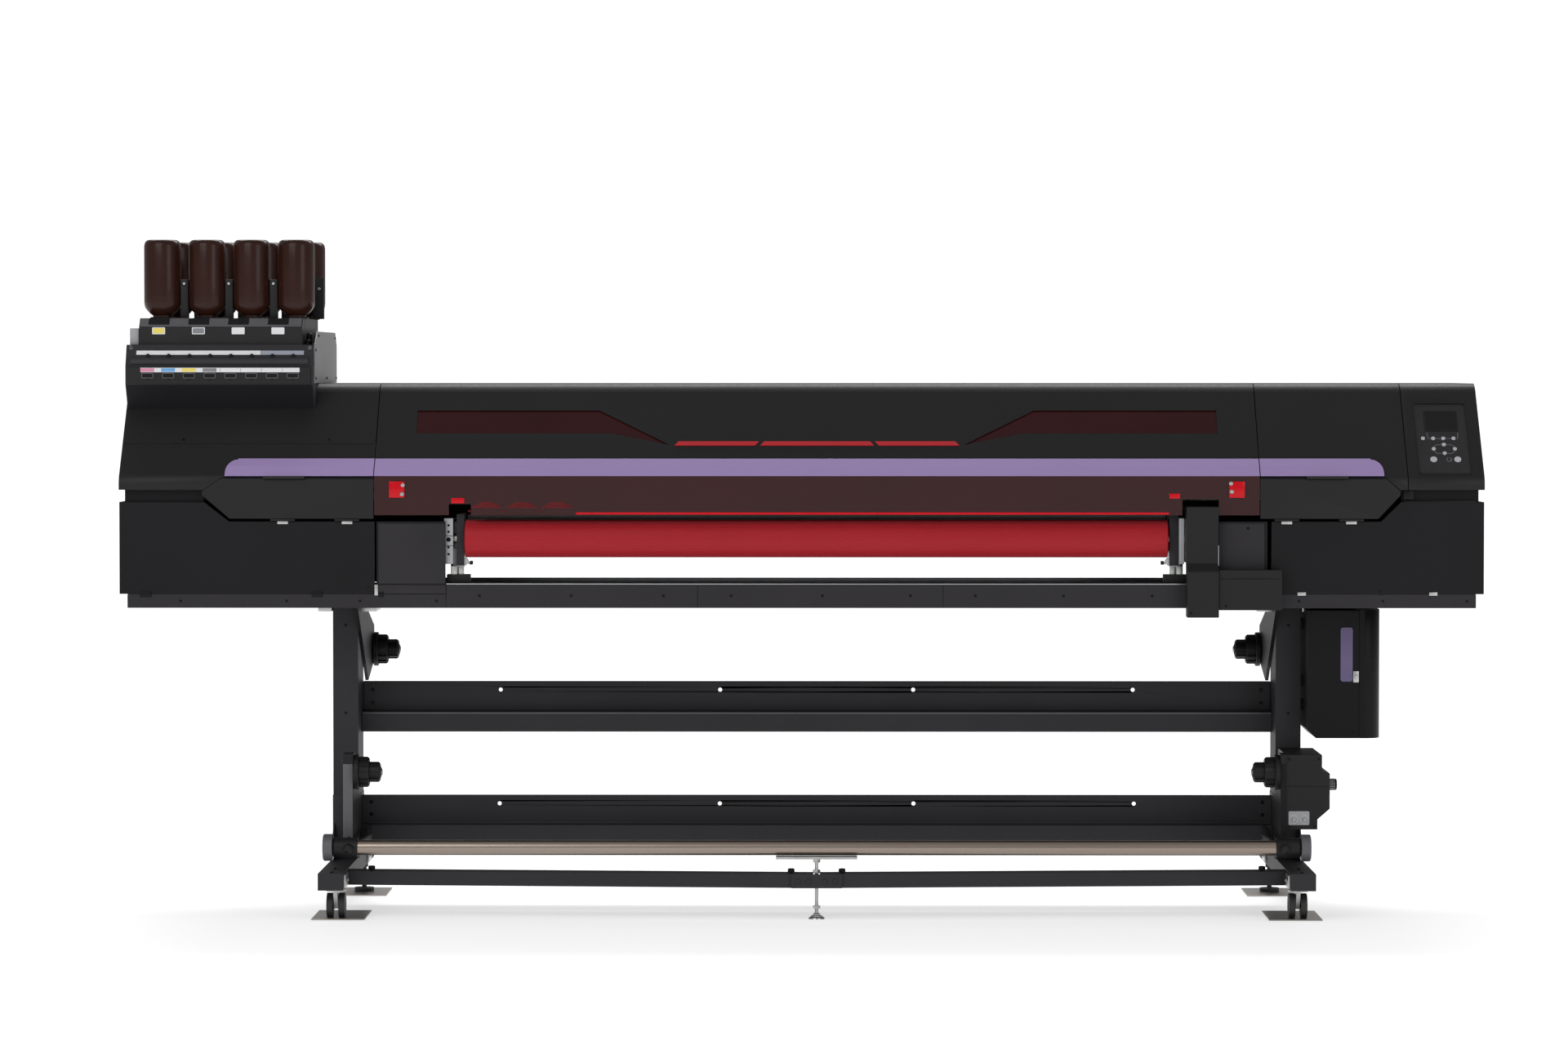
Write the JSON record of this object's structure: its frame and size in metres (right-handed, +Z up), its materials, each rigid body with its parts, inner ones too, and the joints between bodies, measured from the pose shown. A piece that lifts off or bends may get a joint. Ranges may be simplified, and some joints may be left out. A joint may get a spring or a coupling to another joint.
{
  "type": "wide format roll printer",
  "caption": "Wide roll-to-roll UV inkjet printer on a wheeled stand, with inverted ink bottles, tinted covers, exit roller, reel holders and a tension bar.",
  "frame": {"origin": "on the floor, under the middle of the whole machine", "axes": "+X to the operator's right along the machine, +Y to the back, +Z up"},
  "size_m": [3.344, 0.89, 1.662],
  "materials": {
    "charcoal_cover": "fine textured moulded plastic",
    "charcoal_panel": "powder coat",
    "black_frame": "powder coat",
    "black_hub": "moulded",
    "violet_trim": "satin",
    "red_acrylic": "tinted clear sheet",
    "red_rubber": "ribbed sleeve",
    "aluminium": "satin anodised",
    "steel": "bright steel",
    "brown_plastic": "semi-gloss",
    "grey_paint": "satin paint",
    "panel_film": "satin film",
    "key_rubber": "satin",
    "toggle_metal": "polished",
    "black_tyre": "hard tread",
    "zinc_steel": "zinc plated",
    "black_nylon": "moulded"
  },
  "bodies": {
    "machine": {"base_frame": "black_frame", "bottle_tray": "charcoal_cover", "center_post": "steel", "control_cover": "charcoal_cover", "control_panel": "panel_film", "cross_beams": "black_frame", "crossbar": "black_frame", "drive_cover": "charcoal_cover", "floor_plates": "steel", "front_panels": "charcoal_panel", "guide_beam": "aluminium", "ink_bottles": "brown_plastic", "ink_cabinet": "charcoal_panel", "ink_side_panel": "grey_paint", "left_station_cover": "charcoal_cover", "levelling_feet": "steel", "platen": "aluminium", "rear_cover": "charcoal_cover", "reel_supports": "black_frame", "right_station_cover": "charcoal_cover", "roller_brackets": "aluminium", "stand_feet": "black_frame", "stand_legs": "black_frame", "takeup_housing": "charcoal_cover", "trim_sides": "violet_trim", "waste_tank": "charcoal_cover"},
    "front_cover": {"front_cover": "charcoal_cover", "red_windows": "red_acrylic", "trim_center": "violet_trim"},
    "left_nose_cover": {"left_nose_cover": "charcoal_cover"},
    "right_nose_cover": {"right_nose_cover": "charcoal_cover"},
    "print_carriage": {"print_carriage": "charcoal_cover"},
    "exit_roller": {"exit_roller": "red_rubber"},
    "motor_pulley": {"motor_pulley": "aluminium"},
    "feed_flange_left": {"feed_flange_left": "black_hub"},
    "feed_flange_right": {"feed_flange_right": "black_hub"},
    "takeup_flange_left": {"takeup_flange_left": "black_hub"},
    "takeup_flange_right": {"takeup_flange_right": "black_hub"},
    "tension_bar": {"tension_bar": "steel"},
    "torque_knob": {"torque_knob": "black_hub"},
    "winding_switch": {"winding_switch": "toggle_metal"},
    "direction_switch": {"direction_switch": "toggle_metal"},
    "chip_flap": {"chip_flap": "charcoal_cover"},
    "waste_door": {"waste_door": "charcoal_cover"},
    "left_caster_fork": {"left_caster_fork": "zinc_steel"},
    "right_caster_fork": {"right_caster_fork": "zinc_steel"},
    "left_caster_wheels": {"left_caster_wheels": "black_tyre"},
    "right_caster_wheels": {"right_caster_wheels": "black_tyre"},
    "left_caster_brake": {"left_caster_brake": "black_nylon"},
    "right_caster_brake": {"right_caster_brake": "black_nylon"},
    "arrow_down_key": {"arrow_down_key": "key_rubber"},
    "arrow_left_key": {"arrow_left_key": "key_rubber"},
    "arrow_right_key": {"arrow_right_key": "key_rubber"},
    "arrow_up_key": {"arrow_up_key": "key_rubber"},
    "function_key_1": {"function_key_1": "key_rubber"},
    "function_key_2": {"function_key_2": "key_rubber"},
    "function_key_3": {"function_key_3": "key_rubber"},
    "function_key_4": {"function_key_4": "key_rubber"},
    "start_key": {"start_key": "key_rubber"},
    "stop_key": {"stop_key": "key_rubber"}
  },
  "joints": [
    {"name": "front_cover_hinge", "type": "hinge", "parent": "machine", "child": "front_cover", "pos_m": [0.038, 0.2515, 1.3], "axis": [-1, 0, 0], "range_deg": [0, 50]},
    {"name": "left_nose_cover_hinge", "type": "hinge", "parent": "machine", "child": "left_nose_cover", "pos_m": [-1.252, -0.305, 0.971], "axis": [1, 0, 0], "range_deg": [0, 90]},
    {"name": "right_nose_cover_hinge", "type": "hinge", "parent": "machine", "child": "right_nose_cover", "pos_m": [1.298, -0.305, 0.971], "axis": [1, 0, 0], "range_deg": [0, 90]},
    {"name": "carriage_slide", "type": "slide", "parent": "machine", "child": "print_carriage", "axis": [-1, 0, 0], "range_m": [0, 2.55]},
    {"name": "exit_roller_spin", "type": "hinge", "parent": "machine", "child": "exit_roller", "pos_m": [0.038, -0.25, 0.924], "axis": [1, 0, 0], "continuous": true},
    {"name": "motor_pulley_spin", "type": "hinge", "parent": "machine", "child": "motor_pulley", "pos_m": [0.962, -0.327, 0.8], "axis": [1, 0, 0], "continuous": true},
    {"name": "feed_left_spin", "type": "hinge", "parent": "machine", "child": "feed_flange_left", "pos_m": [-1.099, 0.3, 0.622], "axis": [1, 0, 0], "continuous": true},
    {"name": "takeup_left_spin", "type": "hinge", "parent": "machine", "child": "takeup_flange_left", "pos_m": [-1.099, -0.27, 0.35], "axis": [1, 0, 0], "continuous": true},
    {"name": "left_caster_swivel", "type": "hinge", "parent": "machine", "child": "left_caster_fork", "pos_m": [-1.134, -0.4, 0.074], "axis": [0, 0, 1], "continuous": true},
    {"name": "left_caster_roll", "type": "hinge", "parent": "left_caster_fork", "child": "left_caster_wheels", "pos_m": [-1.134, -0.385, 0.0333], "axis": [1, 0, 0], "continuous": true},
    {"name": "left_caster_brake_hinge", "type": "hinge", "parent": "left_caster_fork", "child": "left_caster_brake", "pos_m": [-1.134, -0.367, 0.066], "axis": [-1, 0, 0], "range_deg": [0, 20]},
    {"name": "feed_right_spin", "type": "hinge", "parent": "machine", "child": "feed_flange_right", "pos_m": [1.175, 0.3, 0.622], "axis": [1, 0, 0], "continuous": true},
    {"name": "takeup_right_spin", "type": "hinge", "parent": "machine", "child": "takeup_flange_right", "pos_m": [1.175, -0.27, 0.35], "axis": [1, 0, 0], "continuous": true},
    {"name": "right_caster_swivel", "type": "hinge", "parent": "machine", "child": "right_caster_fork", "pos_m": [1.21, -0.4, 0.074], "axis": [0, 0, 1], "continuous": true},
    {"name": "right_caster_roll", "type": "hinge", "parent": "right_caster_fork", "child": "right_caster_wheels", "pos_m": [1.21, -0.385, 0.0333], "axis": [1, 0, 0], "continuous": true},
    {"name": "right_caster_brake_hinge", "type": "hinge", "parent": "right_caster_fork", "child": "right_caster_brake", "pos_m": [1.21, -0.367, 0.066], "axis": [-1, 0, 0], "range_deg": [0, 20]},
    {"name": "tension_bar_swing", "type": "hinge", "parent": "machine", "child": "tension_bar", "pos_m": [0.038, -0.1, 0.168], "axis": [-1, 0, 0], "range_deg": [0, 28]},
    {"name": "torque_knob_turn", "type": "hinge", "parent": "machine", "child": "torque_knob", "pos_m": [1.297, -0.18, 0.313], "axis": [1, 0, 0], "range_deg": [-150, 150]},
    {"name": "winding_switch_flip", "type": "hinge", "parent": "machine", "child": "winding_switch", "pos_m": [1.208, -0.289, 0.236], "axis": [1, 0, 0], "range_deg": [0, 24]},
    {"name": "direction_switch_flip", "type": "hinge", "parent": "machine", "child": "direction_switch", "pos_m": [1.235, -0.289, 0.236], "axis": [1, 0, 0], "range_deg": [0, 24]},
    {"name": "chip_flap_hinge", "type": "hinge", "parent": "machine", "child": "chip_flap", "pos_m": [-1.437, -0.2053, 1.347], "axis": [-1, 0, 0], "range_deg": [0, 70]},
    {"name": "waste_door_hinge", "type": "hinge", "parent": "machine", "child": "waste_door", "pos_m": [1.3863, 0.1033, 0.585], "axis": [0, 0, 1], "range_deg": [0, 90]},
    {"name": "arrow_down_key_press", "type": "slide", "parent": "machine", "child": "arrow_down_key", "axis": [0, 0.749, -0.6626], "range_m": [0, 0.0015], "stiffness_N_per_m": 200},
    {"name": "arrow_left_key_press", "type": "slide", "parent": "machine", "child": "arrow_left_key", "axis": [0, 0.749, -0.6626], "range_m": [0, 0.0015], "stiffness_N_per_m": 200},
    {"name": "arrow_right_key_press", "type": "slide", "parent": "machine", "child": "arrow_right_key", "axis": [0, 0.749, -0.6626], "range_m": [0, 0.0015], "stiffness_N_per_m": 200},
    {"name": "arrow_up_key_press", "type": "slide", "parent": "machine", "child": "arrow_up_key", "axis": [0, 0.749, -0.6626], "range_m": [0, 0.0015], "stiffness_N_per_m": 200},
    {"name": "function_key_1_press", "type": "slide", "parent": "machine", "child": "function_key_1", "axis": [0, 0.749, -0.6626], "range_m": [0, 0.0015], "stiffness_N_per_m": 200},
    {"name": "function_key_2_press", "type": "slide", "parent": "machine", "child": "function_key_2", "axis": [0, 0.749, -0.6626], "range_m": [0, 0.0015], "stiffness_N_per_m": 200},
    {"name": "function_key_3_press", "type": "slide", "parent": "machine", "child": "function_key_3", "axis": [0, 0.749, -0.6626], "range_m": [0, 0.0015], "stiffness_N_per_m": 200},
    {"name": "function_key_4_press", "type": "slide", "parent": "machine", "child": "function_key_4", "axis": [0, 0.749, -0.6626], "range_m": [0, 0.0015], "stiffness_N_per_m": 200},
    {"name": "start_key_press", "type": "slide", "parent": "machine", "child": "start_key", "axis": [0, 0.749, -0.6626], "range_m": [0, 0.0015], "stiffness_N_per_m": 200},
    {"name": "stop_key_press", "type": "slide", "parent": "machine", "child": "stop_key", "axis": [0, 0.749, -0.6626], "range_m": [0, 0.0015], "stiffness_N_per_m": 200}
  ],
  "couplings": [
    {"joint": "motor_pulley_spin", "follows": "exit_roller_spin", "ratio": 2.5333}
  ]
}
